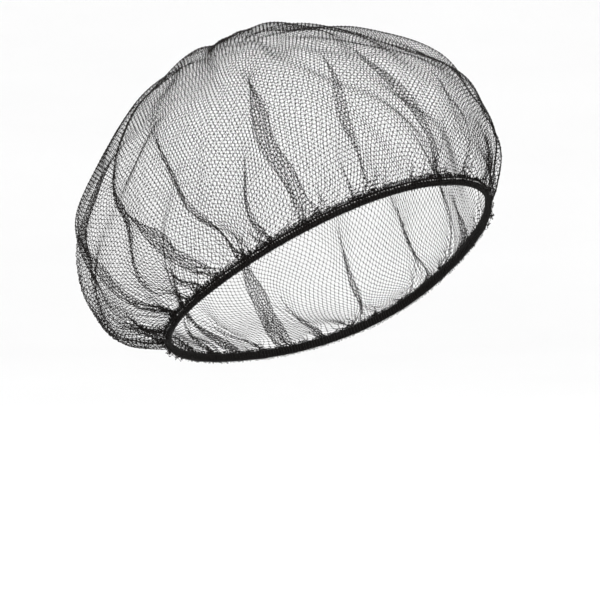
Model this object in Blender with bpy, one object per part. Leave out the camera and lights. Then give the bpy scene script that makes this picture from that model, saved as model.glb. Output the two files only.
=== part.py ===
"""Gathered hairnet: a bag of fine net drawn in round a tilted elastic band, open below for the head.

Metres, +Z up. The wearer faces -Y, and the wearer's right is -X. The origin is the middle of the band.
Heights are measured from the plane of the band, which is higher at the forehead than at the nape.
"""

from math import radians

import bpy
import numpy as np

# Elastic band, measured along the middle of its section
BAND_LENGTH = 0.196
BAND_WIDTH = 0.1556
BAND_EGG = 0.19
BAND_SQUARENESS = 2.25
BAND_TILT = radians(31.0)
BAND_TALL = 0.0045
BAND_THICK = 0.0024
BAND_ROUNDING = 0.0007
BAND_STEPS = 96

# Net bag
CROWN_RISE = 0.147
CROWN_BACK = 0.023
NET_REACH = 0.034
NET_WALL = 0.001
SEAT_GAP = 0.0003
LOW_FULLNESS = 0.9
SIDE_FULLNESS = 0.55
SHOULDER_FULLNESS = 0.44
CROWN_FULLNESS = 0.45
NET_COLUMNS = 144
LOW_ROWS = 8
HIGH_ROWS = 9

# Pleats that the band gathers, and the soft folds that run up from them
FOLD_DEPTH = 0.0055
FOLD_WIDTH = 0.0050
FOLD_START = 0.07
VALLEY_SHARE = 0.35

# Directions run from the forehead (0) by the wearer's right (90) to the nape (180).
# bulge is a share of NET_REACH, widest is a share of CROWN_RISE, and lift is in degrees above straight out.
SECTION_COLUMNS = ("direction", "bulge", "widest", "lift")
SECTIONS = (
    (0, 0.43, 0.180, 30),
    (45, 0.53, 0.360, 26),
    (90, 0.54, 0.460, 22),
    (135, 0.98, 0.345, 13),
    (180, 0.83, 0.395, 9),
    (225, 0.94, 0.355, 14),
    (270, 0.56, 0.445, 23),
    (315, 0.52, 0.350, 27),
)

# foot is where the fold meets the band and lean is how far its top end turns, both in degrees.
# reach is a share of the way from band to crown, depth of FOLD_DEPTH and width of FOLD_WIDTH.
FOLDS = (
    # foot, lean, reach, depth, width
    (7.5, 9, 0.46, 1.00, 1.30),
    (17.5, -2, 0.16, 0.60, 0.70),
    (27.5, 5, 0.36, 0.95, 1.00),
    (35.0, -2, 0.20, 0.60, 0.70),
    (45.0, 1, 0.14, 0.50, 0.80),
    (55.0, 1, 0.38, 1.00, 1.00),
    (65.0, 2, 0.26, 0.70, 0.80),
    (72.5, 1, 0.13, 0.50, 0.70),
    (80.0, 8, 0.42, 1.00, 1.10),
    (90.0, 4, 0.27, 0.80, 0.90),
    (97.5, 5, 0.30, 0.85, 0.90),
    (107.5, -3, 0.38, 0.95, 1.00),
    (115.0, 11, 0.36, 1.00, 1.00),
    (122.5, -3, 0.20, 0.70, 0.80),
    (130.0, 4, 0.16, 0.70, 0.80),
    (140.0, -4, 0.30, 0.85, 1.00),
    (150.0, 3, 0.20, 0.75, 0.80),
    (160.0, -2, 0.36, 1.00, 1.10),
    (170.0, 4, 0.24, 0.80, 0.90),
    (180.0, -1, 0.32, 0.90, 1.00),
    (190.0, -5, 0.18, 0.70, 0.80),
    (200.0, 3, 0.38, 1.00, 1.10),
    (212.5, -4, 0.22, 0.75, 0.90),
    (222.5, 5, 0.34, 0.90, 1.00),
    (232.5, -3, 0.18, 0.70, 0.80),
    (242.5, 2, 0.36, 1.00, 1.00),
    (252.5, -6, 0.24, 0.75, 0.80),
    (262.5, 3, 0.40, 0.95, 1.10),
    (275.0, -3, 0.20, 0.65, 0.80),
    (285.0, 5, 0.34, 0.90, 1.00),
    (297.5, -2, 0.24, 0.75, 0.80),
    (307.5, 4, 0.38, 1.00, 1.10),
    (320.0, -5, 0.18, 0.60, 0.80),
    (330.0, 3, 0.26, 0.80, 0.90),
    (347.5, -12, 0.34, 0.95, 1.10),
    (357.5, -6, 0.18, 0.65, 0.80),
)


def around(column_name, turn):
    """One column of SECTIONS as a smooth closed curve, read at each turn (radians)."""
    column = SECTION_COLUMNS.index(column_name)
    values = np.array([row[column] for row in SECTIONS])
    waves = np.fft.rfft(values) / len(values)
    waves[1 : len(values) // 2] *= 2.0
    orders = np.arange(len(waves))
    return np.real(np.exp(1j * np.outer(turn, orders)) @ waves)


def oval(turn):
    """Head-shaped oval as (forward, right, up): squarer than an ellipse, and wider behind than in front."""
    powers = np.abs(np.cos(turn)) ** BAND_SQUARENESS + np.abs(np.sin(turn)) ** BAND_SQUARENESS
    reach = powers ** (-1 / BAND_SQUARENESS)
    forward = reach * np.cos(turn)
    right = reach * np.sin(turn) * (1 - BAND_EGG * forward)
    return np.stack([BAND_LENGTH / 2 * forward, BAND_WIDTH / 2 * right, np.zeros_like(turn)], axis=1)


def band_line(turn):
    """Middle line of the band as (forward, right, up) and the direction straight out from it."""
    step = radians(0.5)
    line = oval(turn)
    slope = oval(turn + step) - oval(turn - step)
    out = np.stack([slope[:, 1], -slope[:, 0], np.zeros_like(turn)], axis=1)
    return line, out / np.linalg.norm(out, axis=1)[:, None]


def bezier(start, start_handle, end_handle, end, share):
    """Points of one cubic per column: the first index is the row along the cubic."""
    share = share[:, None, None]
    rest = 1 - share
    first = rest**3 * start + 3 * rest**2 * share * start_handle
    return first + 3 * rest * share**2 * end_handle + share**3 * end


def bag_rows(turn):
    """Smooth net as rows from band to crown, without folds. The crown point itself is added later."""
    line, out = band_line(turn)
    up = np.array([0.0, 0.0, 1.0])
    bulge = NET_REACH * around("bulge", turn)[:, None]
    widest = CROWN_RISE * around("widest", turn)[:, None]
    lift = np.radians(around("lift", turn))[:, None]
    rim = line + up * (BAND_TALL / 2 + SEAT_GAP + NET_WALL / 2)
    side = line + out * bulge + up * widest
    crown = np.array([-CROWN_BACK, 0.0, CROWN_RISE])
    leave = out * np.cos(lift) + up * np.sin(lift)
    rim_handle = rim + leave * LOW_FULLNESS * bulge
    side_handle = side - up * SIDE_FULLNESS * widest
    shoulder_handle = side + up * SHOULDER_FULLNESS * (CROWN_RISE - widest)
    crown_handle = crown + CROWN_FULLNESS * (side - crown) * np.array([1.0, 1.0, 0.0])
    low_shares = np.linspace(0, 1, LOW_ROWS + 1)
    high_shares = np.linspace(0, 1, HIGH_ROWS + 1)[1:-1]
    low = bezier(rim, rim_handle, side_handle, side, low_shares)
    high = bezier(side, shoulder_handle, crown_handle, crown, high_shares)
    return np.concatenate([low, high]), crown


def fold_height(turn, rise):
    """Height of the folds over the smooth net at each turn, for the share `rise` of the way up."""
    height = np.zeros_like(rise)
    girth = (BAND_LENGTH + BAND_WIDTH) / 4
    for foot, lean, reach, depth, width in FOLDS:
        along = np.clip(rise / reach, 0, 1)
        centre = np.radians(foot + lean * along)
        beside = (turn - centre + np.pi) % (2 * np.pi) - np.pi
        across = beside * girth / (FOLD_WIDTH * width * (1 + along))
        crest = np.exp(-(across**2)) - VALLEY_SHARE * np.exp(-((across / 2) ** 2))
        swell = np.clip(rise / FOLD_START, 0, 1) ** 2
        fade = np.cos(along * np.pi / 2)
        height += FOLD_DEPTH * depth * crest * swell * fade
    return height


def folded_rows(turn):
    """Net rows with the folds raised along the direction that the smooth net faces."""
    rows, crown = bag_rows(turn)
    steps = np.linalg.norm(np.diff(rows, axis=0), axis=2)
    last = np.linalg.norm(crown - rows[-1], axis=1)
    run = np.concatenate([np.zeros((1, len(turn))), np.cumsum(steps, axis=0)])
    rise = run / (run[-1] + last)
    along = np.gradient(rows, axis=0)
    round_it = (np.roll(rows, -1, axis=1) - np.roll(rows, 1, axis=1)) / 2
    facing = np.cross(round_it, along)
    facing /= np.linalg.norm(facing, axis=2)[:, :, None]
    return rows + facing * fold_height(turn[None, :], rise)[:, :, None], crown


def to_world(points):
    """(forward, right, up) of the band's plane to the object's own axes."""
    forward, right, up = np.moveaxis(points, -1, 0)
    depth = -forward * np.cos(BAND_TILT) + up * np.sin(BAND_TILT)
    height = forward * np.sin(BAND_TILT) + up * np.cos(BAND_TILT)
    return np.stack([-right, depth, height], axis=-1)


def make_object(name, points, faces, material):
    mesh = bpy.data.meshes.new(name)
    mesh.from_pydata(points.reshape(-1, 3).tolist(), [], faces)
    mesh.materials.append(material)
    mesh.validate()
    mesh.shade_smooth()
    piece = bpy.data.objects.new(name, mesh)
    bpy.context.scene.collection.objects.link(piece)
    return piece


def loop_faces(row_count, column_count, close_rows=False):
    """Quads between neighbouring closed rows of points, facing out of a bag whose rows climb."""
    faces = []
    for row in range(row_count if close_rows else row_count - 1):
        above = (row + 1) % row_count
        for column in range(column_count):
            beside = (column + 1) % column_count
            corners = ((row, column), (above, column), (above, beside), (row, beside))
            faces.append([r * column_count + c for r, c in corners])
    return faces


def make_net(material):
    turn = np.arange(NET_COLUMNS) * 2 * np.pi / NET_COLUMNS
    rows, crown = folded_rows(turn)
    points = np.concatenate([rows.reshape(-1, 3), crown[None, :]])
    faces = loop_faces(len(rows), NET_COLUMNS)
    top = (len(rows) - 1) * NET_COLUMNS
    crown_index = len(points) - 1
    for column in range(NET_COLUMNS):
        faces.append([top + column, crown_index, top + (column + 1) % NET_COLUMNS])
    net = make_object("net", to_world(points), faces, material)
    wall = net.modifiers.new("wall", "SOLIDIFY")
    wall.thickness = NET_WALL
    wall.offset = 0.0
    wall.use_quality_normals = True
    return net


def make_band(material):
    """Closed loop with a rounded flat section, stood on edge round the head."""
    turn = np.arange(BAND_STEPS) * 2 * np.pi / BAND_STEPS
    line, out = band_line(turn)
    up = np.array([0.0, 0.0, 1.0])
    half_thick = BAND_THICK / 2
    half_tall = BAND_TALL / 2
    inner_thick = half_thick - BAND_ROUNDING
    inner_tall = half_tall - BAND_ROUNDING
    section = (
        (half_thick, -inner_tall),
        (half_thick, inner_tall),
        (inner_thick, half_tall),
        (-inner_thick, half_tall),
        (-half_thick, inner_tall),
        (-half_thick, -inner_tall),
        (-inner_thick, -half_tall),
        (inner_thick, -half_tall),
    )
    rows = np.array([line + out * across + up * height for across, height in section])
    faces = loop_faces(len(section), BAND_STEPS, close_rows=True)
    return make_object("elastic_band", to_world(rows), faces, material)


def make_material(name, colour, roughness):
    material = bpy.data.materials.new(name)
    material.use_nodes = True
    shader = material.node_tree.nodes["Principled BSDF"]
    shader.inputs["Base Color"].default_value = (*colour, 1.0)
    shader.inputs["Roughness"].default_value = roughness
    shader.inputs["Metallic"].default_value = 0.0
    return material


for old in list(bpy.data.objects):
    bpy.data.objects.remove(old, do_unlink=True)

make_net(make_material("black nylon net", (0.020, 0.018, 0.017), 0.5))
make_band(make_material("black covered elastic", (0.012, 0.011, 0.011), 0.7))
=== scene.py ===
"""Looks of a gathered hairnet: real strands of net on a stitched, covered elastic band.

Metres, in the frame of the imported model: +Z up, the face towards -Y, the wearer's right towards -X.
The net is one round sheet. Its strands are laid out flat as a honeycomb, then carried onto the worn
form by a grid of the same sheet, which is pleated round the band and relaxed until its lengths are right.

A turn goes round from the forehead (0) by the wearer's right (90 degrees) to the nape (180 degrees).
A rise is the share of the way up the net, from the band (0) to the crown (1).
"""

import math

import bpy
import numpy as np
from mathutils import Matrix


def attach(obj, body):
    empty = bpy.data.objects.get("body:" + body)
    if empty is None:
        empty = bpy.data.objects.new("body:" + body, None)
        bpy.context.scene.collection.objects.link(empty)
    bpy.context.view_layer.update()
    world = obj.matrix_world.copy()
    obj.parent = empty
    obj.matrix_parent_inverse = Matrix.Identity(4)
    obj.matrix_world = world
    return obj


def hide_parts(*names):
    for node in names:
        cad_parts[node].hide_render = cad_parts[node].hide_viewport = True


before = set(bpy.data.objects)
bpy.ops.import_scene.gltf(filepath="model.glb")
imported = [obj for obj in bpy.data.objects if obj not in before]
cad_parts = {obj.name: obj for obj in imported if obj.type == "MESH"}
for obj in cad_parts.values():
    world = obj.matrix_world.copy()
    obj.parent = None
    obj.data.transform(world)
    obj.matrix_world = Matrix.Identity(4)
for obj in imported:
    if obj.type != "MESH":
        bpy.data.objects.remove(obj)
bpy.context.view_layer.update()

TURN = 2 * math.pi
MM = 0.001
UP = np.array([0.0, 0.0, 1.0])

# Band and bag, the same sizes as the solids have
BAND_LENGTH = 0.196
BAND_WIDTH = 0.1556
BAND_EGG = 0.19
BAND_SQUARENESS = 2.25
BAND_TILT = math.radians(31.0)
BAND_TALL = 0.0045
BAND_THICK = 0.0024
CROWN_RISE = 0.147
CROWN_BACK = 0.023
NET_REACH = 0.034
NET_WALL = 0.001
SEAT_GAP = 0.0003
LOW_FULLNESS = 0.9
SIDE_FULLNESS = 0.55
SHOULDER_FULLNESS = 0.44
CROWN_FULLNESS = 0.45

# bulge is a share of NET_REACH, widest is a share of CROWN_RISE, and lift is in degrees above straight out.
SECTION_COLUMNS = ("direction", "bulge", "widest", "lift")
SECTIONS = (
    (0, 0.43, 0.180, 30),
    (45, 0.53, 0.360, 26),
    (90, 0.54, 0.460, 22),
    (135, 0.98, 0.345, 13),
    (180, 0.83, 0.395, 9),
    (225, 0.94, 0.355, 14),
    (270, 0.56, 0.445, 23),
    (315, 0.52, 0.350, 27),
)

# At the nape the net leaves the band this many degrees steeper, coming on and going off over these turns
NAPE_LIFT = 50
NAPE_START = (141, 156)
NAPE_END = (209, 225)

# Where the worn form is pressed in, or with a negative depth pushed out: turn and wide in degrees,
# rise and tall as shares of the way up, depth in millimetres.
HOLLOWS = (
    # turn, rise, wide, tall, depth
    (310, 0.075, 14, 0.035, 3.6),
    (319, 0.255, 17, 0.045, 3.4),
    (324, 0.38, 12, 0.050, -1.2),
    (332, 0.56, 14, 0.080, 1.5),
    (114, 0.64, 12, 0.050, 2.4),
    (127, 0.49, 13, 0.055, 3.3),
    (133, 0.38, 9, 0.040, -0.8),
    (133, 0.315, 8, 0.025, 1.6),
    (134, 0.25, 9, 0.035, -2.0),
    (137, 0.19, 9, 0.025, 1.4),
)

# foot is where the fold meets the band and lean is how far its top end turns, both in degrees.
# start and reach are rises, depth and width are shares of a full fold. Each row tips over to the other
# side than the row before it.
FOLDS = (
    # foot, lean, start, reach, depth, width
    (2.5, -8, 0, 0.20, 2.00, 1.00),
    (8.5, 7, 0, 0.38, 1.35, 1.40),
    (18.5, 0, 0, 0.15, 1.70, 0.80),
    (22.5, 0, 0, 0.09, 1.30, 0.60),
    (27.0, 0, 0, 0.16, 1.50, 0.80),
    (34.0, -2, 0, 0.33, 1.55, 1.20),
    (42.0, 0, 0, 0.19, 1.75, 1.00),
    (49.5, 2, 0, 0.14, 1.50, 0.80),
    (57.0, -2, 0, 0.34, 1.30, 1.40),
    (69.5, -1, 0, 0.23, 1.45, 1.05),
    (75.5, 2, 0, 0.13, 1.25, 0.75),
    (81.0, 9, 0, 0.37, 1.10, 1.10),
    (90.5, 12, 0, 0.28, 1.35, 0.95),
    (99.0, 6, 0, 0.26, 1.10, 1.00),
    (106.0, -1, 0, 0.10, 0.70, 0.80),
    (113.5, -8, 0, 0.36, 1.10, 1.00),
    (118.0, 6, 0, 0.32, 0.90, 0.80),
    (128.0, 1, 0, 0.14, 0.55, 0.80),
    (160.0, -62, 0.32, 0.46, 0.80, 0.35),
    (140.0, -4, 0, 0.15, 0.70, 0.90),
    (150.0, 3, 0, 0.15, 0.90, 0.80),
    (160.0, -2, 0, 0.20, 0.90, 1.00),
    (170.0, 4, 0, 0.24, 1.00, 0.90),
    (180.0, -1, 0, 0.32, 0.90, 1.00),
    (190.0, -5, 0, 0.18, 1.00, 0.80),
    (200.0, 3, 0, 0.38, 1.00, 1.10),
    (212.5, -4, 0, 0.22, 0.90, 0.90),
    (222.5, 5, 0, 0.34, 0.90, 1.00),
    (232.5, -3, 0, 0.18, 1.00, 0.80),
    (242.5, 2, 0, 0.36, 1.00, 1.00),
    (252.5, -6, 0, 0.24, 1.00, 0.80),
    (262.5, 3, 0, 0.40, 0.95, 1.10),
    (275.0, -3, 0, 0.20, 1.00, 0.80),
    (285.0, 5, 0, 0.34, 0.90, 1.00),
    (297.5, -2, 0, 0.24, 1.00, 0.80),
    (307.5, 4, 0, 0.38, 1.00, 1.10),
    (320.0, -5, 0, 0.18, 1.00, 0.80),
    (329.0, 22, 0, 0.16, 1.25, 0.90),
    (349.5, -1, 0, 0.27, 1.35, 1.00),
)

# A full fold: the scales of its half width and of its height, how far it draws the cloth in (in half
# widths), how much wider it grows, how far past its reach it fades out and how soon a late start comes on
FOLD_WIDTH = 4.4 * MM
FOLD_HEIGHT = 5.0 * MM
FOLD_TAKE = 3.2
FOLD_WIDENING = 1.1
FOLD_FADE = 1.3
FOLD_ONSET = 0.1

# Folds are deepest at this turn, in degrees, and shallowest opposite it, by twice this share
DEEPEST_TURN = 110
DEPTH_SWING = 0.2

# Towards the nape the folds lie closer to the form: turn and wide in degrees, and the rises over which
# this ends
SNUG_TURN = 168
SNUG_WIDE = 34
SNUG_SHARE = 0.55
SNUG_FADE = (0.12, 0.35)

# The stitching holds the net down: a height grows from this share of itself to all of it over this rise
SEAT_SHARE = 0.1
SEAT_RISE = 0.05

# The net is gathered tightest behind the ear and loosest at the far temple: the turn in degrees, the
# swing in radians, and the rises over which it ends
LOOSEST_TURN = 325
GATHER_SWING = 0.26
GATHER_FADE = (0.1, 0.8)

# Small gathers that the stitching makes: half widths in degrees and reaches in millimetres. They are
# longest and deepest behind the ear, and move only the hem and the net in the zone above it.
GATHER_COUNT = 168
GATHER_WIDTHS = (0.55, 1.0)
GATHER_REACHES = (5, 24)
GATHER_DEPTHS = (0.6, 1.1)
GATHER_TAKE = 2.9
GATHER_HEIGHT = 0.8 * MM
GATHER_ZONE = 42 * MM
FULLEST_TURN = 145
FULLEST_WIDE = 34

# Low undulations of the loose cloth, with heights in millimetres. Waves go round the form, have their full
# height at one order and die out where they crowd near the crown. Ripples cross the flat sheet, and have
# their full height at one length. All are lower at the forehead and higher at the nape by the same share.
WAVE_COUNT = 44
WAVE_ORDERS = (8, 40)
WAVE_HEIGHT = 0.9
FULL_WAVE_ORDER = 12
CROWDING = 70
RIPPLE_COUNT = 18
RIPPLE_LENGTHS = (28, 75)
RIPPLE_HEIGHT = 0.3
FULL_RIPPLE_LENGTH = 50 * MM
FRONT_CALM = 0.35
WAVE_FADE = (0.02, 0.22)

# The flat sheet is a disc. What lies past NET_RADIUS is sewn down the outside of the band, and
# HEM_RADIUS lies a little past its longest tail.
NET_RADIUS = 0.222
HEM_DEPTH = BAND_TALL + 0.7 * MM
HEM_RADIUS = NET_RADIUS + 10.5 * MM
GORES = 5

# Longer tails of loose net below the band: turn and wide in degrees, length in millimetres. Past their
# start below the band's edge they flare out by a share of their depth.
TAILS = (
    # turn, wide, length
    (140, 9, 2.2),
    (318, 8, 1.6),
)
TAIL_START = 0.5 * MM
TAIL_FLARE = 0.6

# Relaxation grid: rings are coarse at the crown and fine at the hem. The middle rings and those next to
# the band are held, and every few steps the sheet is brought back to its room over the form.
GRID_TURNS = 720
GRID_RINGS = 104
CROWN_STEP = 3.1
HEM_STEP = 1.1
HELD_RINGS = 3
HELD_RISE = 0.004
RELAX_STEPS = 150
STEPS_TO_A_ROUND = 4

# Links of the grid: the least and the most share of its flat length that a link may have, and the share
# of the excess that each of its ends takes away in one step
LINK_ALONG = (0.97, 1.03, 0.30)
LINK_ROUND = (0.80, 1.04, 0.30)
LINK_ACROSS = (0.86, 1.08, 0.12)
SMOOTH_ROUND = 0.05
SMOOTH_ALONG = 0.08

# Room of the sheet over the form: what is left at the crown, what is added below it, the rise over which
# it is added, and the shares of it that count inwards and outwards
CROWN_ROOM = 0.5 * MM
SIDE_ROOM = 5 * MM
CROWN_SHARE = 0.3
ROOM_INWARD = 1.3
ROOM_OUTWARD = 0.4

# Honeycomb of knitted pillars joined by pairs of thin legs. A spread is the least and the most share of
# its radius that a strand has.
HOLE_PITCH = 2.55 * MM
ROW_PITCH = 0.78 * HOLE_PITCH
PILLAR_LENGTH = 0.36 * ROW_PITCH
PILLAR_END_RADIUS = 0.175 * MM
PILLAR_WAIST_RADIUS = 0.40 * MM
PILLAR_SPREAD = (0.85, 1.2)
LEG_RADIUS = 0.105 * MM
LEG_SPREAD = (0.85, 1.15)
KNIT_ANGLE = math.radians(-15)
KNIT_JITTER = 0.09 * MM
STRAND_SIDES = 3

# The covered elastic is a little smaller than the band's solid, which the sewn net and threads fill up
COVER_ROOM = 0.05 * MM
CORE_THICK = BAND_THICK - 2 * COVER_ROOM
CORE_TALL = BAND_TALL - 2 * COVER_ROOM

# Loops of thread past the band's edges: side is 1 above and -1 below, lengths are in millimetres
EDGE_LOOPS = (
    # name, side, count, lowest, highest, radius, seed
    ("lower_edge_loops", -1, 900, 0.25, 1.0, 0.09, 21),
    ("upper_edge_loops", 1, 1400, 0.6, 2.3, 0.16, 22),
)

# Camera at the photo's angle. The pixel is where the origin stands in the 600 x 600 frame.
VIEW_AZIMUTH = math.radians(-39.3)
VIEW_ELEVATION = math.radians(4.4)
VIEW_DISTANCE = 1.6
PIXELS_PER_MM = 1.91
FRAME_PIXELS = 600
ORIGIN_PIXEL = (338.8, 272.7)
SENSOR_WIDTH = 36

# Pale floor, which curves up past its flat part
FLOOR_HEIGHT = -0.34
FLAT_REACH = 3.2
FLAT_RINGS = (0.001, 1.0, 2.2)
COVE_RADIUS = 2.4
COVE_RINGS = 17
FLOOR_SIDES = 96


def around(column_name, turn):
    """One column of SECTIONS as a smooth closed curve, read at each turn (radians)."""
    column = SECTION_COLUMNS.index(column_name)
    values = np.array([row[column] for row in SECTIONS])
    waves = np.fft.rfft(values) / len(values)
    waves[1 : len(values) // 2] *= 2.0
    orders = np.arange(len(waves))
    return np.real(np.exp(1j * np.outer(turn, orders)) @ waves)


def oval(turn):
    """Egg-shaped oval as (forward, right, up) in the band's plane."""
    powers = np.abs(np.cos(turn)) ** BAND_SQUARENESS + np.abs(np.sin(turn)) ** BAND_SQUARENESS
    reach = powers ** (-1 / BAND_SQUARENESS)
    forward = reach * np.cos(turn)
    right = reach * np.sin(turn) * (1 - BAND_EGG * forward)
    return np.stack([BAND_LENGTH / 2 * forward, BAND_WIDTH / 2 * right, np.zeros_like(turn)], axis=-1)


def band_line(turn):
    """Middle line of the band as (forward, right, up) and the direction straight out from it."""
    step = math.radians(0.5)
    line = oval(turn)
    slope = oval(turn + step) - oval(turn - step)
    out = np.stack([slope[..., 1], -slope[..., 0], np.zeros_like(turn)], axis=-1)
    return line, out / np.linalg.norm(out, axis=-1)[..., None]


def bezier(start, start_handle, end_handle, end, share):
    """Points of one cubic per column: the first index is the row along the cubic."""
    share = share[:, None, None]
    rest = 1 - share
    first = rest**3 * start + 3 * rest**2 * share * start_handle
    return first + 3 * rest * share**2 * end_handle + share**3 * end


def to_world(points):
    """(forward, right, up) of the band's plane to the object's own axes."""
    forward, right, up = np.moveaxis(points, -1, 0)
    depth = -forward * math.cos(BAND_TILT) + up * math.sin(BAND_TILT)
    height = forward * math.sin(BAND_TILT) + up * math.cos(BAND_TILT)
    return np.stack([-right, depth, height], axis=-1)


def unit(vectors):
    """The vectors at length one."""
    return vectors / np.maximum(np.linalg.norm(vectors, axis=-1, keepdims=True), 1e-12)


def ramp(value, low, high):
    """Smooth step from 0 at low to 1 at high."""
    share = np.clip((value - low) / (high - low), 0, 1)
    return share * share * (3 - 2 * share)


def seated(rise):
    """Share of its height that the net has at a rise, where the stitching holds it down."""
    return np.clip(rise / SEAT_RISE, SEAT_SHARE, 1)


def ring_table(table, row, column):
    """Reads a table at fractional rows and columns. Its columns close on themselves."""
    row = np.clip(row, 0, table.shape[0] - 1 - 1e-6)
    low_row = row.astype(int)
    part = (row - low_row)[..., None]
    column = np.mod(column, table.shape[1])
    low_column = np.minimum(column.astype(int), table.shape[1] - 1)
    side = (column - low_column)[..., None]
    next_column = (low_column + 1) % table.shape[1]
    below = table[low_row, low_column] * (1 - side) + table[low_row, next_column] * side
    above = table[low_row + 1, low_column] * (1 - side) + table[low_row + 1, next_column] * side
    return below * (1 - part) + above * part


def hollows(turn, rise):
    """How far in from the smooth form each place lies, in metres."""
    total = 0 * turn * rise
    for at_turn, at_rise, wide, tall, depth in HOLLOWS:
        beside = (np.degrees(turn) - at_turn + 180) % 360 - 180
        total = total + depth * MM * np.exp(-((beside / wide) ** 2) - ((rise - at_rise) / tall) ** 2)
    return total


class Bag:
    """The smooth worn form as a table of points, read by turn and by rise."""

    TURNS = 720
    RISES = 160
    LOW_POINTS = 121
    HIGH_POINTS = 241

    def __init__(self):
        turn = np.arange(self.TURNS) * TURN / self.TURNS
        points = self.evenly(to_world(self.columns(turn)))
        along = np.gradient(points, axis=0)
        round_it = np.roll(points, -1, axis=1) - np.roll(points, 1, axis=1)
        facing = unit(np.cross(along, round_it))
        facing[-1] = unit(facing[-2].mean(axis=0))
        rise = np.linspace(0, 1, self.RISES + 1)[:, None]
        points = points - facing * hollows(turn, rise)[..., None]
        self.table = np.concatenate([points, facing], axis=2)
        self.spread_table = self.even_spread(points, turn)

    def columns(self, turn):
        """A column of points at each turn, from the band up to the crown."""
        line, out = band_line(turn)
        bulge = NET_REACH * around("bulge", turn)[:, None]
        widest = CROWN_RISE * around("widest", turn)[:, None]
        degrees = np.degrees(turn)
        nape = ramp(degrees, *NAPE_START) * (1 - ramp(degrees, *NAPE_END))
        lift = np.radians(around("lift", turn) + NAPE_LIFT * nape)[:, None]
        rim = line + out * BAND_THICK / 2 + UP * (BAND_TALL / 2 + SEAT_GAP + NET_WALL / 2)
        side = line + out * bulge + UP * widest
        crown = np.array([-CROWN_BACK, 0.0, CROWN_RISE])
        leave = out * np.cos(lift) + UP * np.sin(lift)
        rim_handle = rim + leave * LOW_FULLNESS * bulge
        side_handle = side - UP * SIDE_FULLNESS * widest
        shoulder = side + UP * SHOULDER_FULLNESS * (CROWN_RISE - widest)
        crown_handle = crown + CROWN_FULLNESS * (side - crown) * np.array([1.0, 1.0, 0.0])
        low_shares = np.linspace(0, 1, self.LOW_POINTS)
        high_shares = np.linspace(0, 1, self.HIGH_POINTS)[1:]
        low = bezier(rim, rim_handle, side_handle, side, low_shares)
        high = bezier(side, shoulder, crown_handle, crown + 0 * side, high_shares)
        return np.concatenate([low, high])

    def even_spread(self, points, turn):
        """How far each level's turns run ahead of the flat sheet's, when the sheet is spread evenly."""
        steps = np.linalg.norm(np.roll(points, -1, axis=1) - points, axis=2)
        steps[-1] = steps[-2]
        run = np.concatenate([np.zeros((len(steps), 1)), np.cumsum(steps, axis=1)], axis=1)
        all_turns = np.append(turn, TURN)
        ahead = [np.interp(turn, row / row[-1] * TURN, all_turns) - turn for row in run]
        return np.array(ahead)[..., None]

    def spread(self, theta, rise):
        """Turn, less the flat angle theta, at which an even spread puts the sheet."""
        return ring_table(self.spread_table, rise * self.RISES, theta * self.TURNS / TURN)[..., 0]

    def evenly(self, rows):
        """The rows again, spaced evenly along each column."""
        steps = np.linalg.norm(np.diff(rows, axis=0), axis=2)
        run = np.concatenate([np.zeros((1, self.TURNS)), np.cumsum(steps, axis=0)])
        share = run / run[-1]
        wanted = np.linspace(0, 1, self.RISES + 1)
        even = np.empty((self.RISES + 1, self.TURNS, 3))
        for column in range(self.TURNS):
            for axis in range(3):
                even[:, column, axis] = np.interp(wanted, share[:, column], rows[:, column, axis])
        return even

    def read(self, turn, rise):
        """Point and outward facing at each turn (radians) and rise."""
        values = ring_table(self.table, rise * self.RISES, turn * self.TURNS / TURN)
        return values[..., :3], values[..., 3:]


def big_folds(theta, rise, shift):
    """How far the pleats move the sheet round the form (radians) and off it (metres)."""
    swing = GATHER_SWING * np.sin(theta - math.radians(LOOSEST_TURN))
    shift = shift + swing * (1 - ramp(rise, *GATHER_FADE))
    theta = theta + shift
    height = np.zeros_like(theta)
    at_nape = np.exp(-(((np.degrees(theta) % 360 - SNUG_TURN) / SNUG_WIDE) ** 2))
    snug = 1 - SNUG_SHARE * at_nape * (1 - ramp(rise, *SNUG_FADE))
    narrow = FOLD_WIDTH / ((BAND_LENGTH + BAND_WIDTH) / 4)
    for number, (foot, lean, start, reach, depth, width) in enumerate(FOLDS):
        along = np.clip(rise / (reach * FOLD_FADE), 0, 1)
        centre = np.radians(foot + lean * along)
        half = narrow * width * (1 + FOLD_WIDENING * along)
        beside = ((theta - centre + math.pi) % TURN - math.pi) / half
        wave = beside * np.exp(-(beside**2) / 2)
        fade = np.cos(along * math.pi / 2)
        fade *= 1 - DEPTH_SWING + DEPTH_SWING * math.cos(math.radians(foot - DEEPEST_TURN))
        if start:
            fade = fade * ramp(rise, start - FOLD_ONSET, start)
        side = 1 if number % 2 else -1
        shift -= FOLD_TAKE * depth * half * wave * fade
        height += side * FOLD_HEIGHT * depth * wave * fade * seated(rise)
    return shift, height * snug


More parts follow.
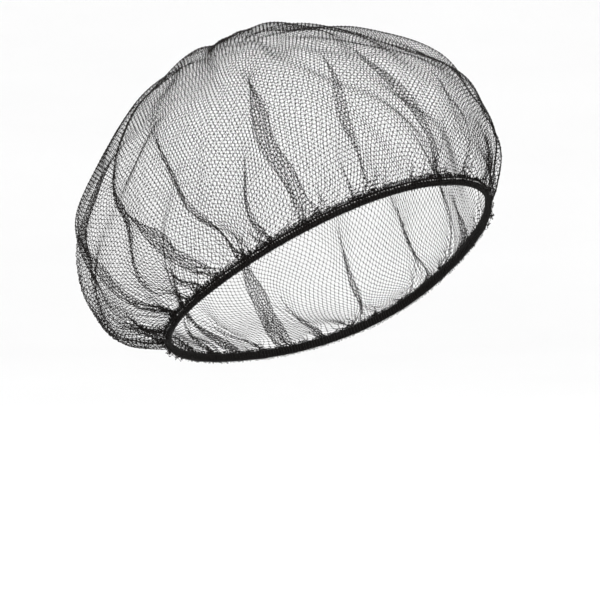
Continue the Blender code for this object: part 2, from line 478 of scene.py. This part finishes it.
def soft_waves(turn, rise):
    """Height of the loose cloth's low random undulations, in metres. They close on themselves."""
    random = np.random.default_rng(311)
    total = np.zeros_like(turn)
    for order in random.integers(*WAVE_ORDERS, WAVE_COUNT):
        phase = random.uniform(0, TURN)
        twist = random.normal(0, 6)
        centre = random.uniform(0.05, 0.7)
        spread = random.uniform(0.15, 0.40)
        uncrowded = ramp((1 - rise) * CROWDING / order, 0.5, 1.3)
        envelope = np.exp(-(((rise - centre) / spread) ** 2)) * uncrowded
        full_height = WAVE_HEIGHT * math.sqrt(FULL_WAVE_ORDER / order)
        total += full_height * envelope * np.cos(order * turn + phase + twist * rise)
    x = NET_RADIUS * (1 - rise) * np.cos(turn)
    y = NET_RADIUS * (1 - rise) * np.sin(turn)
    for _ in range(RIPPLE_COUNT):
        length = random.uniform(*RIPPLE_LENGTHS) * MM
        angle = random.uniform(0, TURN)
        phase = random.uniform(0, TURN)
        across = x * math.cos(angle) + y * math.sin(angle)
        total += RIPPLE_HEIGHT * (length / FULL_RIPPLE_LENGTH) * np.cos(TURN * across / length + phase)
    return MM * total * (1 - FRONT_CALM * np.cos(turn) * (1 - rise)) * ramp(rise, *WAVE_FADE)


class Sheet:
    """The net's flat disc on its worn form, as a grid of rings from the crown to the hem."""

    def __init__(self, bag):
        self.bag = bag
        steps = np.linspace(CROWN_STEP, HEM_STEP, GRID_RINGS)
        self.radii = np.concatenate([[0], np.cumsum(steps)]) * HEM_RADIUS / steps.sum()
        theta = np.arange(GRID_TURNS) * TURN / GRID_TURNS
        radius, theta = np.meshgrid(self.radii, theta, indexing="ij")
        flat_rise = 1 - radius / NET_RADIUS
        self.rise = np.maximum(flat_rise, 0)
        shift, height = big_folds(theta, self.rise, bag.spread(theta, self.rise))
        self.turn = theta + shift
        place, facing = bag.read(self.turn, self.rise)
        height += soft_waves(self.turn, self.rise)
        self.place = place + facing * height[..., None]
        sewn = flat_rise <= 0
        self.place[sewn] = sewn_down(self.turn[sewn], (radius - NET_RADIUS)[sewn])
        free = (flat_rise > HELD_RISE) & (radius > self.radii[HELD_RINGS])
        self.free = free[..., None].astype(float)
        self.relax()
        along = np.gradient(self.place, axis=0)
        round_it = np.roll(self.place, -1, axis=1) - np.roll(self.place, 1, axis=1)
        self.facing = unit(np.cross(round_it, along))

    def relax(self):
        """Lets the grid settle until its lengths are near those of the flat sheet."""
        ring_step = np.diff(self.radii)[:, None]
        side_step = (self.radii * TURN / GRID_TURNS)[:, None]
        cross_step = np.hypot(ring_step, (side_step[1:] + side_step[:-1]) / 2)
        place = self.place
        for step in range(RELAX_STEPS):
            move = np.zeros_like(place)
            pull = stretch(place[1:] - place[:-1], ring_step, *LINK_ALONG)
            move[:-1] += pull
            move[1:] -= pull
            pull = stretch(np.roll(place, -1, axis=1) - place, side_step, *LINK_ROUND)
            move += pull - np.roll(pull, 1, axis=1)
            for way in (1, -1):
                gap = np.roll(place[1:], -way, axis=1) - place[:-1]
                pull = stretch(gap, cross_step, *LINK_ACROSS)
                move[:-1] += pull
                move[1:] -= np.roll(pull, way, axis=1)
            beside = (np.roll(place, -1, axis=1) + np.roll(place, 1, axis=1)) / 2
            move += SMOOTH_ROUND * (beside - place)
            move[1:-1] += SMOOTH_ALONG * ((place[2:] + place[:-2]) / 2 - place[1:-1])
            place = place + move * self.free
            if (step + 1) % STEPS_TO_A_ROUND == 0:
                place = self.keep_near(place)
        self.place = place

    def keep_near(self, place):
        """Finds each point's foot on the smooth bag and limits its height over it."""
        small = 0.004
        most_turn = 0.05
        most_rise = 0.02
        point, _ = self.bag.read(self.turn, self.rise)
        by_turn = (self.bag.read(self.turn + small, self.rise)[0] - point) / small
        by_rise = (point - self.bag.read(self.turn, self.rise - small)[0]) / small
        error = place - point
        turn_turn = (by_turn * by_turn).sum(-1) + 1e-9
        turn_rise = (by_turn * by_rise).sum(-1)
        rise_rise = (by_rise * by_rise).sum(-1) + 1e-9
        error_turn = (error * by_turn).sum(-1)
        error_rise = (error * by_rise).sum(-1)
        size = turn_turn * rise_rise - turn_rise * turn_rise + 1e-12
        swing = (rise_rise * error_turn - turn_rise * error_rise) / size
        climb = (turn_turn * error_rise - turn_rise * error_turn) / size
        self.turn = self.turn + np.clip(swing, -most_turn, most_turn)
        self.rise = np.clip(self.rise + np.clip(climb, -most_rise, most_rise), 0, 1)
        point, facing = self.bag.read(self.turn, self.rise)
        height = ((place - point) * facing).sum(-1)
        below_crown = np.clip((1 - self.rise) / CROWN_SHARE, 0, 1)
        room = CROWN_ROOM + SIDE_ROOM * below_crown * seated(self.rise)
        kept = np.clip(height, -ROOM_INWARD * room, ROOM_OUTWARD * room)
        return place + facing * (0.5 * (kept - height))[..., None] * self.free

    def read(self, flat):
        """Places of points of the flat sheet, with the small gathers that the stitching makes."""
        radius = np.linalg.norm(flat, axis=1)
        theta = np.arctan2(flat[:, 1], flat[:, 0])
        shift, height = small_gathers(theta, radius)
        ring = np.interp(radius, self.radii, np.arange(len(self.radii)))
        column = (theta + shift) * GRID_TURNS / TURN
        facing = unit(ring_table(self.facing, ring, column))
        return smooth_read(self.place, ring, column) + facing * height[:, None]


def sewn_down(turn, depth):
    """Where the hem lies: down the outside of the band, and loose below it."""
    line, out = band_line(turn)
    below = np.maximum(depth - BAND_TALL - TAIL_START, 0)
    off = CORE_THICK / 2 + SEAT_GAP + TAIL_FLARE * below
    top = BAND_TALL / 2 + SEAT_GAP + NET_WALL / 2
    return to_world(line + out * off[..., None] + UP * (top - depth)[..., None])


def small_gathers(theta, radius):
    """Narrow gathers that the stitching makes beside the band: shift (radians) and height (metres)."""
    random = np.random.default_rng(97)
    shift = np.zeros_like(theta)
    height = np.zeros_like(theta)
    near = np.flatnonzero(radius > NET_RADIUS - GATHER_ZONE)
    for number in range(GATHER_COUNT):
        centre = (number + random.uniform(-0.35, 0.35)) * TURN / GATHER_COUNT
        full = math.exp(-(((math.degrees(centre) - FULLEST_TURN) / FULLEST_WIDE) ** 2))
        half = math.radians(random.uniform(*GATHER_WIDTHS))
        reach = random.uniform(*GATHER_REACHES) * (1 + full) * MM
        depth = random.uniform(*GATHER_DEPTHS) * (1 + 0.4 * full)
        lean = random.normal(0, 0.012)
        above = np.maximum(NET_RADIUS - radius[near], 0) / reach
        beside = ((theta[near] - centre - lean * above + math.pi) % TURN - math.pi) / half
        wave = depth * beside * np.exp(-(beside**2) / 2) * (1 - ramp(above, 0, 1))
        shift[near] -= GATHER_TAKE * half * wave
        height[near] += random.choice((-1, 1)) * GATHER_HEIGHT * wave
    return shift, height


def stretch(gap, rest, least, most, stiffness):
    """The move of each end that takes a gap back towards its least or its most length."""
    length = np.linalg.norm(gap, axis=2)
    wanted = np.clip(length, rest * least, rest * most)
    share = stiffness * (length - wanted) / np.maximum(length, 1e-9)
    return gap * share[..., None]


def smooth_read(grid, row, column):
    """Reads the grid with smooth cubics. Its columns close on themselves."""
    count = grid.shape[1]
    row = np.clip(row, 0, grid.shape[0] - 1 - 1e-6)
    low_row = row.astype(int)
    column = np.mod(column, count)
    low_column = np.minimum(column.astype(int), count - 1)
    total = 0
    for row_offset, row_weight in enumerate(cubic_weights(row - low_row)):
        picked_row = np.clip(low_row + row_offset - 1, 0, grid.shape[0] - 1)
        for offset, weight in enumerate(cubic_weights(column - low_column)):
            picked = grid[picked_row, (low_column + offset - 1) % count]
            total = total + picked * (row_weight * weight)[:, None]
    return total


def cubic_weights(share):
    """Weights of four neighbours for a Catmull-Rom cubic, at a share of the way between its middle two."""
    return (
        ((-share + 2) * share - 1) * share / 2,
        ((3 * share - 5) * share * share + 2) / 2,
        ((-3 * share + 4) * share + 1) * share / 2,
        (share - 1) * share * share / 2,
    )


def hem_radius(theta):
    """Where the flat sheet is cut: just below the band, with two longer tails of loose net."""
    degrees = np.degrees(theta) % 360
    radius = NET_RADIUS + HEM_DEPTH
    for turn, wide, length in TAILS:
        radius = radius + length * MM * np.exp(-(((degrees - turn) / wide) ** 2))
    return radius


def honeycomb():
    """Flat strands as (points, radii) arrays: pillars with a thick waist, and legs."""
    random = np.random.default_rng(7490)
    count = int(HEM_RADIUS / ROW_PITCH) + 2
    places = np.arange(-count, count + 1)
    rows, columns = np.meshgrid(places, places, indexing="ij")
    x = (columns + 0.5 * (rows % 2)) * HOLE_PITCH
    y = rows * ROW_PITCH
    jitter = random.normal(0, KNIT_JITTER, (*x.shape, 2))
    low = np.stack([x, y - PILLAR_LENGTH / 2], axis=-1) + jitter
    high = np.stack([x, y + PILLAR_LENGTH / 2], axis=-1) + jitter
    low += random.normal(0, KNIT_JITTER / 2, low.shape)
    high += random.normal(0, KNIT_JITTER / 2, low.shape)
    odd = (rows[:-1, 1:-1] % 2).astype(bool)[..., None]
    top = high[:-1, 1:-1]
    left = np.where(odd, low[1:, 1:-1], low[1:, :-2])
    right = np.where(odd, low[1:, 2:], low[1:, 1:-1])
    pillars = np.stack([low, (low + high) / 2, high], axis=-2).reshape(-1, 3, 2)
    legs = np.stack([np.stack([top, end], axis=-2) for end in (left, right)]).reshape(-1, 2, 2)
    cosine = math.cos(KNIT_ANGLE)
    sine = math.sin(KNIT_ANGLE)
    turned = np.array([[cosine, sine], [-sine, cosine]])
    waist = random.uniform(*PILLAR_SPREAD, len(pillars))[:, None]
    pillar_radii = waist * np.array([PILLAR_END_RADIUS, PILLAR_WAIST_RADIUS, PILLAR_END_RADIUS])
    leg_radii = random.uniform(*LEG_SPREAD, len(legs))[:, None] * np.array([LEG_RADIUS, LEG_RADIUS])
    kinds = []
    for points, radii in ((pillars @ turned, pillar_radii), (legs @ turned, leg_radii)):
        reach = np.linalg.norm(points, axis=2)
        inside = (reach < hem_radius(np.arctan2(points[..., 1], points[..., 0]))).all(axis=1)
        kinds.append((points[inside], radii[inside]))
    return kinds


def strand_corners(points, radii, sides=STRAND_SIDES):
    """Corner rings round each strand: (strand, ring, side, xyz)."""
    aslant = np.array([0.13, 0.71, 0.69])
    along = unit(points[:, -1] - points[:, 0])
    side = unit(np.cross(along, aslant))
    other = np.cross(along, side)
    corners = np.empty((*points.shape[:2], sides, 3), np.float32)
    for corner in range(sides):
        angle = TURN * corner / sides
        away = side * math.cos(angle) + other * math.sin(angle)
        corners[:, :, corner] = points + away[:, None] * radii[..., None]
    return corners


def strand_faces(count, rings, sides=STRAND_SIDES):
    """Four-cornered faces between the rings of each strand."""
    base = np.arange(count)[:, None, None] * rings * sides
    base = base + np.arange(rings - 1)[None, :, None] * sides
    faces = []
    for corner in range(sides):
        following = (corner + 1) % sides
        faces.append(base + np.array([corner, following, sides + following, sides + corner]))
    return np.concatenate(faces).reshape(-1, 4)


def mesh_object(name, points, faces, material):
    """One smooth mesh object of four-cornered faces."""
    points = np.asarray(points, np.float32).reshape(-1, 3)
    mesh = bpy.data.meshes.new(name)
    mesh.vertices.add(len(points))
    mesh.vertices.foreach_set("co", points.reshape(-1))
    mesh.loops.add(faces.size)
    mesh.loops.foreach_set("vertex_index", faces.reshape(-1).astype(np.int32))
    mesh.polygons.add(len(faces))
    mesh.polygons.foreach_set("loop_start", np.arange(0, faces.size, 4, dtype=np.int32))
    mesh.update(calc_edges=True)
    mesh.shade_smooth()
    mesh.materials.append(material)
    piece = bpy.data.objects.new(name, mesh)
    bpy.context.scene.collection.objects.link(piece)
    return piece


def strands_object(name, kinds, material):
    """Open strands of several kinds, each (points, radii), as one object."""
    all_corners = []
    all_faces = []
    used = 0
    for points, radii in kinds:
        corners = strand_corners(points, radii)
        all_corners.append(corners.reshape(-1, 3))
        all_faces.append(strand_faces(len(points), points.shape[1]) + used)
        used += len(all_corners[-1])
    return mesh_object(name, np.concatenate(all_corners), np.concatenate(all_faces), material)


def gore_of(points):
    """Number of the gore that each strand's middle lies in."""
    middle = points.mean(axis=1)
    share = (np.arctan2(middle[:, 1], middle[:, 0]) % TURN) / TURN
    return np.minimum((share * GORES).astype(int), GORES - 1)


def make_net():
    """The worn net: the flat honeycomb carried onto the relaxed sheet, one gore at a time."""
    sheet = Sheet(Bag())
    flat_kinds = honeycomb()
    material = thread_material(
        "black_nylon_net",
        dark=(0.006, 0.005, 0.0046),
        light=(0.015, 0.0125, 0.0115),
        roughness=0.5,
        specular=0.08,
    )
    for number in range(GORES):
        worn = []
        for points, radii in flat_kinds:
            chosen = gore_of(points) == number
            places = sheet.read(points[chosen].reshape(-1, 2)).reshape(chosen.sum(), -1, 3)
            worn.append((places, radii[chosen]))
        piece = strands_object(f"net_gore_{number + 1}", worn, material)
        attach(piece, "root")
        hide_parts("net")


class BandPath:
    """Places round the band by the distance run along its middle line."""

    POINTS = 2881

    def __init__(self):
        self.turns = np.linspace(0, TURN, self.POINTS)
        line, _ = band_line(self.turns)
        steps = np.linalg.norm(np.diff(line, axis=0), axis=1)
        self.runs = np.concatenate([[0], np.cumsum(steps)])
        self.length = self.runs[-1]

    def place(self, run, out_by, up_by):
        """World place at a run, a distance out from the middle line and one up from it."""
        turn = np.interp(run % self.length, self.runs, self.turns)
        line, out = band_line(turn)
        return to_world(line + out * np.asarray(out_by)[..., None] + UP * np.asarray(up_by)[..., None])

    def facing(self, run, out_share, up_share):
        """World direction with these shares of outward and of upward."""
        turn = np.interp(run % self.length, self.runs, self.turns)
        _, out = band_line(turn)
        return unit(to_world(out * np.asarray(out_share)[..., None] + UP * np.asarray(up_share)[..., None]))


def rounded(angle, half_out, half_up, squareness=0.55):
    """A rounded rectangle read by angle, as (out, up)."""
    out = half_out * np.sign(np.cos(angle)) * np.abs(np.cos(angle)) ** squareness
    up = half_up * np.sign(np.sin(angle)) * np.abs(np.sin(angle)) ** squareness
    return out, up


def closed_faces(rings, sides, close_rings=True):
    """Faces of a tube whose rings, and if wanted its length, close on themselves."""
    last = rings if close_rings else rings - 1
    ring, side = np.meshgrid(np.arange(last), np.arange(sides), indexing="ij")
    next_ring = (ring + 1) % rings
    next_side = (side + 1) % sides
    corners = [ring * sides + side, ring * sides + next_side]
    corners += [next_ring * sides + next_side, next_ring * sides + side]
    return np.stack(corners, axis=-1).reshape(-1, 4)


def dress(piece):
    """Lets a piece stand for the band's solid and ride with it."""
    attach(piece, "root")
    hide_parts("elastic_band")
    return piece


def make_band_core(path):
    """Covered elastic: a flat ring whose cover thread runs round it in slanting ribs."""
    rings = 1420
    sides = 16
    ribs = 355
    rib_slant = 2
    rib_depth_out = 0.10
    rib_depth_up = 0.04
    run = np.arange(rings)[:, None] * path.length / rings
    angle = np.arange(sides)[None, :] * TURN / sides
    out, up = rounded(angle, CORE_THICK / 2, CORE_TALL / 2)
    groove = 0.5 + 0.5 * np.cos(TURN * run / (path.length / ribs) + rib_slant * angle)
    out = out * (1 - rib_depth_out * groove)
    up = up * (1 - rib_depth_up * groove)
    points = path.place(run + 0 * angle, out, up)
    material = thread_material(
        "covered_elastic",
        dark=(0.0025, 0.0022, 0.002),
        light=(0.007, 0.0062, 0.0056),
        roughness=0.55,
        specular=0.06,
    )
    core = mesh_object("elastic_core", points, closed_faces(rings, sides), material)
    return dress(core)


def tube_object(name, line, facing, radius, sides, material):
    """Closed tube along a closed line of points. Facing keeps its sides from twisting."""
    along = unit(np.roll(line, -1, axis=0) - np.roll(line, 1, axis=0))
    side = unit(np.cross(along, facing))
    other = np.cross(side, along)
    angle = np.arange(sides) * TURN / sides
    away = side[:, None] * np.cos(angle)[None, :, None] + other[:, None] * np.sin(angle)[None, :, None]
    points = line[:, None] + away * radius
    return mesh_object(name, points, closed_faces(len(line), sides), material)


def make_overlock(path):
    """Thread that is sewn round and round the band and over the hem of the net."""
    random = np.random.default_rng(55)
    loops = 330
    steps = 16
    radius = 0.13 * MM
    sides = 4
    share = np.arange(loops * steps) / steps
    angle = -TURN * share + 0.4 * np.sin(TURN * share)
    wander = np.repeat(random.normal(0, 0.10, loops), steps)
    run = (share + wander * np.sin(math.pi * (share % 1)) ** 2) * path.length / loops
    half_out = BAND_THICK / 2 + 0.2 * MM
    half_up = BAND_TALL / 2 - 0.05 * MM
    out, up = rounded(angle, half_out, half_up)
    line = path.place(run, out, up)
    facing = path.facing(run, out, up)
    material = thread_material(
        "overlock_thread",
        dark=(0.003, 0.0027, 0.0025),
        light=(0.012, 0.011, 0.010),
        roughness=0.35,
        specular=0.18,
    )
    thread = tube_object("overlock_thread", line, facing, radius, sides, material)
    return dress(thread)


def make_stitch_row(path):
    """Short stitches in a row along the upper part of the band's outer side, their pale colour a painted
    glint of shiny thread.
    """
    random = np.random.default_rng(8)
    count = 370
    rings = 4
    sides = 5
    group = 3
    height = 0.45 * MM
    slant = 0.35 * MM
    proud = 0.60 * MM
    bow = 0.20 * MM
    most_sunk = 0.95 * MM
    radius = 0.36 * MM
    taper = np.array([0.45, 1.0, 1.0, 0.45])
    start = (np.arange(count) + random.uniform(-0.12, 0.12, count)) * path.length / count
    length = random.uniform(0.40, 0.70, count) * MM
    raise_by = height + random.normal(0, 0.09, count) * MM
    knots = np.arange(0, count + group, group)
    sunk = np.interp(np.arange(count), knots, random.uniform(0, 1, len(knots)) ** 0.7)[:, None]
    share = np.linspace(0, 1, rings)
    run = start[:, None] + length[:, None] * share
    up = raise_by[:, None] + slant * (share - 0.5)
    out = BAND_THICK / 2 + proud - bow * (2 * share - 1) ** 2 - most_sunk * sunk
    points = path.place(run, out, up)
    radii = radius * taper * (1 - 0.5 * sunk)
    corners = strand_corners(points, radii, sides)
    faces = strand_faces(count, rings, sides)
    # The pale, patchy colour of these stitches is a painted glint: the shine of the thread is painted into
    # its colour, bright in some patches and dim in others.
    material = thread_material(
        "stitch_thread_painted_glint",
        dark=(0.06, 0.06, 0.06),
        light=(0.90, 0.89, 0.88),
        roughness=0.35,
        specular=0.5,
        patches=520,
    )
    stitches = mesh_object("stitch_row", corners.reshape(-1, 3), faces, material)
    return dress(stitches)


def make_edge_loops(path, name, side, count, lowest, highest, radius, seed):
    """Small loops of thread that stand out past one edge of the band."""
    random = np.random.default_rng(seed)
    rings = 6
    sunk = 0.1 * MM
    outward = 0.3
    start = (np.arange(count) + random.uniform(-0.4, 0.4, count)) * path.length / count
    width = random.uniform(0.5, 1.3, count)[:, None] * MM
    height = random.uniform(lowest * MM, highest * MM, count)[:, None]
    share = np.linspace(0, 1, rings)
    arch = np.sin(math.pi * share)
    lean = random.normal(0, 0.35, count)[:, None] * MM
    run = start[:, None] + width * share + lean * arch
    up = side * (BAND_TALL / 2 - sunk + height * arch)
    out = random.uniform(-0.4, 1.1, count)[:, None] * MM + outward * height * arch
    points = path.place(run, out, up)
    pairs = np.stack([points[:, :-1], points[:, 1:]], axis=2).reshape(-1, 2, 3)
    radii = np.full(pairs.shape[:2], radius * MM)
    material = thread_material(
        "edge_thread",
        dark=(0.004, 0.0036, 0.0033),
        light=(0.011, 0.010, 0.009),
        roughness=0.45,
        specular=0.1,
    )
    return dress(strands_object(name, [(pairs, radii)], material))


def thread_material(name, dark, light, roughness, specular, patches=1100):
    """Dyed nylon thread: uneven dye, uneven gloss and the fine ridges of its filaments. With a pale light
    end, as on the stitch row, the uneven colour is a painted glint.
    """
    material = bpy.data.materials.new(name)
    material.use_nodes = True
    nodes = material.node_tree.nodes
    links = material.node_tree.links
    shader = nodes["Principled BSDF"]
    shader.inputs["Specular IOR Level"].default_value = specular
    place = nodes.new("ShaderNodeTexCoord")
    # Noise for uneven dye; with a pale light end it paints uneven glints instead.
    dye_and_glint = nodes.new("ShaderNodeTexNoise")
    dye_and_glint.inputs["Scale"].default_value = patches
    dye_and_glint.inputs["Detail"].default_value = 3
    links.new(place.outputs["Object"], dye_and_glint.inputs["Vector"])
    colours = nodes.new("ShaderNodeValToRGB")
    colours.color_ramp.elements[0].position = 0.35
    colours.color_ramp.elements[0].color = (*dark, 1)
    colours.color_ramp.elements[1].position = 0.68
    colours.color_ramp.elements[1].color = (*light, 1)
    links.new(dye_and_glint.outputs["Fac"], colours.inputs["Fac"])
    links.new(colours.outputs["Color"], shader.inputs["Base Color"])
    gloss = nodes.new("ShaderNodeMapRange")
    gloss.inputs["To Min"].default_value = roughness - 0.1
    gloss.inputs["To Max"].default_value = roughness + 0.15
    links.new(dye_and_glint.outputs["Fac"], gloss.inputs["Value"])
    links.new(gloss.outputs["Result"], shader.inputs["Roughness"])
    filaments = nodes.new("ShaderNodeTexNoise")
    filaments.inputs["Scale"].default_value = 9000
    links.new(place.outputs["Object"], filaments.inputs["Vector"])
    ridges = nodes.new("ShaderNodeBump")
    ridges.inputs["Strength"].default_value = 0.35
    ridges.inputs["Distance"].default_value = 0.03 * MM
    links.new(filaments.outputs["Fac"], ridges.inputs["Height"])
    links.new(ridges.outputs["Normal"], shader.inputs["Normal"])
    return material


def make_camera():
    """Camera on the photo's line of sight, moved sideways so that the origin falls on its pixel."""
    level = math.cos(VIEW_ELEVATION)
    back = np.array(
        [
            math.sin(VIEW_AZIMUTH) * level,
            -math.cos(VIEW_AZIMUTH) * level,
            math.sin(VIEW_ELEVATION),
        ]
    )
    right = np.array([math.cos(VIEW_AZIMUTH), math.sin(VIEW_AZIMUTH), 0.0])
    up = np.cross(back, right)
    aside = (ORIGIN_PIXEL[0] - FRAME_PIXELS / 2) / PIXELS_PER_MM * MM
    above = (FRAME_PIXELS / 2 - ORIGIN_PIXEL[1]) / PIXELS_PER_MM * MM
    data = bpy.data.cameras.new("camera")
    data.sensor_width = SENSOR_WIDTH
    data.lens = data.sensor_width * VIEW_DISTANCE * PIXELS_PER_MM / MM / FRAME_PIXELS
    camera = bpy.data.objects.new("camera", data)
    camera.location = back * VIEW_DISTANCE - right * aside - up * above
    camera.rotation_euler = (math.pi / 2 - VIEW_ELEVATION, 0, VIEW_AZIMUTH)
    bpy.context.scene.collection.objects.link(camera)
    bpy.context.scene.camera = camera


def floor_material():
    """Matt, nearly even pale floor."""
    material = bpy.data.materials.new("pale_floor")
    material.use_nodes = True
    nodes = material.node_tree.nodes
    links = material.node_tree.links
    shader = nodes["Principled BSDF"]
    shader.inputs["Roughness"].default_value = 0.85
    shader.inputs["Specular IOR Level"].default_value = 0.1
    noise = nodes.new("ShaderNodeTexNoise")
    noise.inputs["Scale"].default_value = 30
    colours = nodes.new("ShaderNodeValToRGB")
    colours.color_ramp.elements[0].color = (0.90, 0.90, 0.90, 1)
    colours.color_ramp.elements[1].color = (0.93, 0.93, 0.93, 1)
    links.new(noise.outputs["Fac"], colours.inputs["Fac"])
    links.new(colours.outputs["Color"], shader.inputs["Base Color"])
    return material


def make_stage():
    """Pale round floor that curves up into a low wall all round, with nothing else on it."""
    bend = np.linspace(0, math.pi / 2, COVE_RINGS)
    reach = np.concatenate([FLAT_RINGS, FLAT_REACH + COVE_RADIUS * np.sin(bend)])
    rise = np.concatenate([0 * np.array(FLAT_RINGS), COVE_RADIUS * (1 - np.cos(bend))])
    height = rise + FLOOR_HEIGHT
    angle = np.arange(FLOOR_SIDES) * TURN / FLOOR_SIDES
    x = reach[:, None] * np.cos(angle)
    y = reach[:, None] * np.sin(angle)
    points = np.stack([x, y, np.repeat(height[:, None], FLOOR_SIDES, axis=1)], axis=-1)
    faces = closed_faces(len(reach), FLOOR_SIDES, close_rings=False)
    mesh_object("floor", points, faces, floor_material())


def make_light(name, azimuth, elevation, distance, size, power):
    """Soft square light that faces the object."""
    azimuth = math.radians(azimuth)
    elevation = math.radians(elevation)
    data = bpy.data.lights.new(name, "AREA")
    data.shape = "SQUARE"
    data.size = size
    data.energy = power
    light = bpy.data.objects.new(name, data)
    level = math.cos(elevation)
    light.location = (
        distance * math.sin(azimuth) * level,
        -distance * math.cos(azimuth) * level,
        distance * math.sin(elevation),
    )
    light.rotation_euler = (math.pi / 2 - elevation, 0, azimuth)
    bpy.context.scene.collection.objects.link(light)


def make_lights():
    """Even white surroundings with a soft key from above the left and a weaker fill from the right."""
    world = bpy.data.worlds.new("world")
    world.use_nodes = True
    background = world.node_tree.nodes["Background"]
    background.inputs["Color"].default_value = (1, 1, 1, 1)
    background.inputs["Strength"].default_value = 1.04
    bpy.context.scene.world = world
    make_light("key", azimuth=-75, elevation=48, distance=2.2, size=0.9, power=26)
    make_light("fill", azimuth=15, elevation=25, distance=2.4, size=1.2, power=10)
    bpy.context.scene.view_settings.view_transform = "Standard"


make_camera()
make_stage()
make_lights()
band_path = BandPath()
band_core = make_band_core(band_path)
make_overlock(band_path)
make_stitch_row(band_path)
for row in EDGE_LOOPS:
    make_edge_loops(band_path, *row)
make_net()
